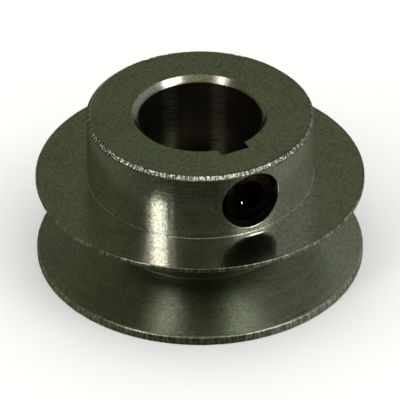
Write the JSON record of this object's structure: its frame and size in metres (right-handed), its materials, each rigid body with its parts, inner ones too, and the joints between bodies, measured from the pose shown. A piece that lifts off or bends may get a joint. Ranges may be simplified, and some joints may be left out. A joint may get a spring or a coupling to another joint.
{
  "type": "v belt pulley",
  "caption": "Single-groove V-belt pulley turned from one piece, with a keyed bore and a hub on one side that holds a radial socket set screw.",
  "frame": {"origin": "centre of the lower flange's flat outer face, on the bore axis, which is also the bottom centre of the bounding box", "axes": "+Z along the bore axis from the flange towards the hub; the keyway and the set screw face -Y; +X completes the right-handed frame"},
  "size_m": [0.0508, 0.0508, 0.0254],
  "materials": {
    "zinc_plated_steel": "turned steel, thin olive-tinted zinc plating, glossy with fine tool marks",
    "black_oxide_steel": "black oxide, lightly oiled"
  },
  "bodies": {
    "pulley": {"pulley_body": "zinc_plated_steel"},
    "screw": {"set_screw": "black_oxide_steel"}
  },
  "joints": [
    {"name": "set_screw_advance", "type": "slide", "parent": "pulley", "child": "screw", "axis": [0, -1, 0], "range_m": [-0.00159, 0.00635]}
  ]
}
